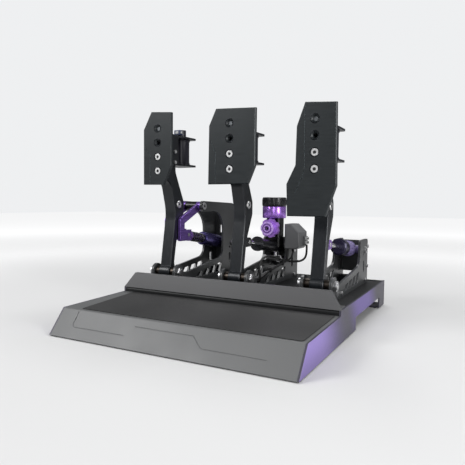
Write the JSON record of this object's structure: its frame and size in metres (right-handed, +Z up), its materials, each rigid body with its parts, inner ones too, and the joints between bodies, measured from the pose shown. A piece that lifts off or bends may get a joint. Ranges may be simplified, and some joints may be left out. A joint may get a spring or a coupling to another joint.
{
  "type": "sim racing pedal set",
  "caption": "Sim racing pedal set: clutch, brake and throttle arms on a folded sheet base with heel rest, dampers, hydraulic brake cylinder and vibration motors.",
  "frame": {"origin": "on the floor under the middle of the base", "axes": "+X to the driver's right, +Y to the back away from the driver, +Z up"},
  "size_m": [0.35, 0.43, 0.3192],
  "materials": {
    "powder_black": "satin powder coat",
    "fascia_grey": "satin powder coat",
    "grip": "matt",
    "side_purple": "satin",
    "rubber_black": "matt",
    "frame_black": "satin",
    "arm_black": "anodised satin",
    "foot_black": "anodised matt",
    "purple": "anodised",
    "dark_purple": "anodised",
    "grey_purple": "anodised",
    "steel": "plain",
    "chrome": "polished",
    "bronze": "plain",
    "cylinder_black": "anodised",
    "spring_black": "satin",
    "motor_black": "matt",
    "box_grey": "satin",
    "cable_black": "matt",
    "cap_black": "satin"
  },
  "bodies": {
    "base": {"heel_plate": "powder_black", "heel_mat": "grip", "fascia": "fascia_grey", "pedal_deck": "powder_black", "side_panel_left": "side_purple", "side_panel_right": "side_purple", "mid_rail": "powder_black", "rubber_feet": "rubber_black", "base_screws": "steel", "floor_blocks": "arm_black", "stop_bars": "steel", "stop_sleeves": "rubber_black", "cross_bolts": "steel", "pivot_nuts": "steel", "frame_screws": "steel", "control_box": "box_grey", "sensor_cables": "cable_black", "clutch_side_plate_left": "frame_black", "clutch_side_plate_right": "frame_black", "clutch_rear_plate": "frame_black", "brake_side_plate_left": "frame_black", "brake_side_plate_right": "frame_black", "brake_rear_plate": "frame_black", "throttle_side_plate_left": "frame_black", "throttle_side_plate_right": "frame_black", "throttle_rear_plate": "frame_black"},
    "clutch_arm": {"clutch_arm": "arm_black", "clutch_arm_bushes": "bronze", "clutch_foot_plate": "foot_black", "clutch_arm_screws": "chrome", "clutch_motor_cage": "arm_black", "clutch_haptic_motor": "motor_black"},
    "clutch_rocker": {"clutch_rocker": "purple", "clutch_rocker_pin": "steel"},
    "clutch_roller": {"clutch_roller": "steel"},
    "clutch_damper": {"clutch_damper": "dark_purple", "clutch_spring": "spring_black"},
    "clutch_rod": {"clutch_rod": "purple"},
    "brake_arm": {"brake_arm": "arm_black", "brake_arm_bushes": "bronze", "brake_foot_plate": "foot_black", "brake_arm_screws": "chrome", "brake_motor_cage": "arm_black", "brake_haptic_motor": "motor_black", "brake_clevis": "cylinder_black"},
    "brake_cylinder": {"brake_cylinder": "cylinder_black", "brake_reservoir": "purple", "brake_reservoir_cap": "cap_black", "brake_pressure_sensor": "steel"},
    "brake_push_rod": {"brake_push_rod": "chrome"},
    "brake_knob": {"brake_knob": "purple"},
    "throttle_arm": {"throttle_arm": "arm_black", "throttle_arm_bushes": "bronze", "throttle_foot_plate": "foot_black", "throttle_arm_screws": "chrome", "throttle_motor_cage": "arm_black", "throttle_haptic_motor": "motor_black", "throttle_clevis": "purple"},
    "throttle_damper": {"throttle_damper": "grey_purple"},
    "throttle_rod": {"throttle_rod": "chrome"}
  },
  "joints": [
    {"name": "clutch_press", "type": "hinge", "parent": "base", "child": "clutch_arm", "pos_m": [-0.128, -0.014, 0.065], "axis": [-1, 0, 0], "range_deg": [0, 14], "stiffness_Nm_per_rad": 12, "springref_deg": -11.46},
    {"name": "clutch_rocker_swing", "type": "hinge", "parent": "base", "child": "clutch_rocker", "pos_m": [-0.128, 0.062, 0.1716], "axis": [1, 0, 0], "range_deg": [0, 16.5]},
    {"name": "clutch_damper_tilt", "type": "hinge", "parent": "base", "child": "clutch_damper", "pos_m": [-0.128, 0.168, 0.101], "axis": [1, 0, 0], "range_deg": [0, 2.9]},
    {"name": "clutch_rod_slide", "type": "slide", "parent": "clutch_damper", "child": "clutch_rod", "axis": [0, 0.9877, -0.1565], "range_m": [0, 0.0165], "deforming": ["clutch_spring"]},
    {"name": "clutch_roller_spin", "type": "hinge", "parent": "clutch_arm", "child": "clutch_roller", "pos_m": [-0.128, 0.0085, 0.122], "axis": [1, 0, 0], "continuous": true},
    {"name": "brake_press", "type": "hinge", "parent": "base", "child": "brake_arm", "pos_m": [0, -0.014, 0.065], "axis": [-1, 0, 0], "range_deg": [0, 7], "stiffness_Nm_per_rad": 60, "springref_deg": -5.73},
    {"name": "brake_cylinder_tilt", "type": "hinge", "parent": "base", "child": "brake_cylinder", "pos_m": [0, 0.168, 0.096], "axis": [1, 0, 0], "range_deg": [0, 1.2]},
    {"name": "brake_rod_slide", "type": "slide", "parent": "brake_cylinder", "child": "brake_push_rod", "axis": [0, 0.9906, -0.1365], "range_m": [0, 0.0075]},
    {"name": "brake_knob_turn", "type": "hinge", "parent": "brake_cylinder", "child": "brake_knob", "pos_m": [0, 0.121, 0.1346], "axis": [0, 1, 0], "continuous": true},
    {"name": "throttle_press", "type": "hinge", "parent": "base", "child": "throttle_arm", "pos_m": [0.128, -0.014, 0.065], "axis": [-1, 0, 0], "range_deg": [0, 15], "stiffness_Nm_per_rad": 8, "springref_deg": -11.46},
    {"name": "throttle_damper_tilt", "type": "hinge", "parent": "base", "child": "throttle_damper", "pos_m": [0.128, 0.168, 0.1], "axis": [1, 0, 0], "range_deg": [0, 2.8]},
    {"name": "throttle_rod_slide", "type": "slide", "parent": "throttle_damper", "child": "throttle_rod", "axis": [0, 0.9923, -0.124], "range_m": [0, 0.0155]}
  ],
  "couplings": [
    {"joint": "clutch_rocker_swing", "follows": "clutch_press", "ratio": 1.15},
    {"joint": "clutch_damper_tilt", "follows": "clutch_press", "ratio": 0.191},
    {"joint": "clutch_rod_slide", "follows": "clutch_press", "m_per_rad": 0.064},
    {"joint": "brake_cylinder_tilt", "follows": "brake_press", "ratio": 0.1417},
    {"joint": "brake_rod_slide", "follows": "brake_press", "m_per_rad": 0.05463},
    {"joint": "throttle_damper_tilt", "follows": "throttle_press", "ratio": 0.1744},
    {"joint": "throttle_rod_slide", "follows": "throttle_press", "m_per_rad": 0.05461}
  ]
}
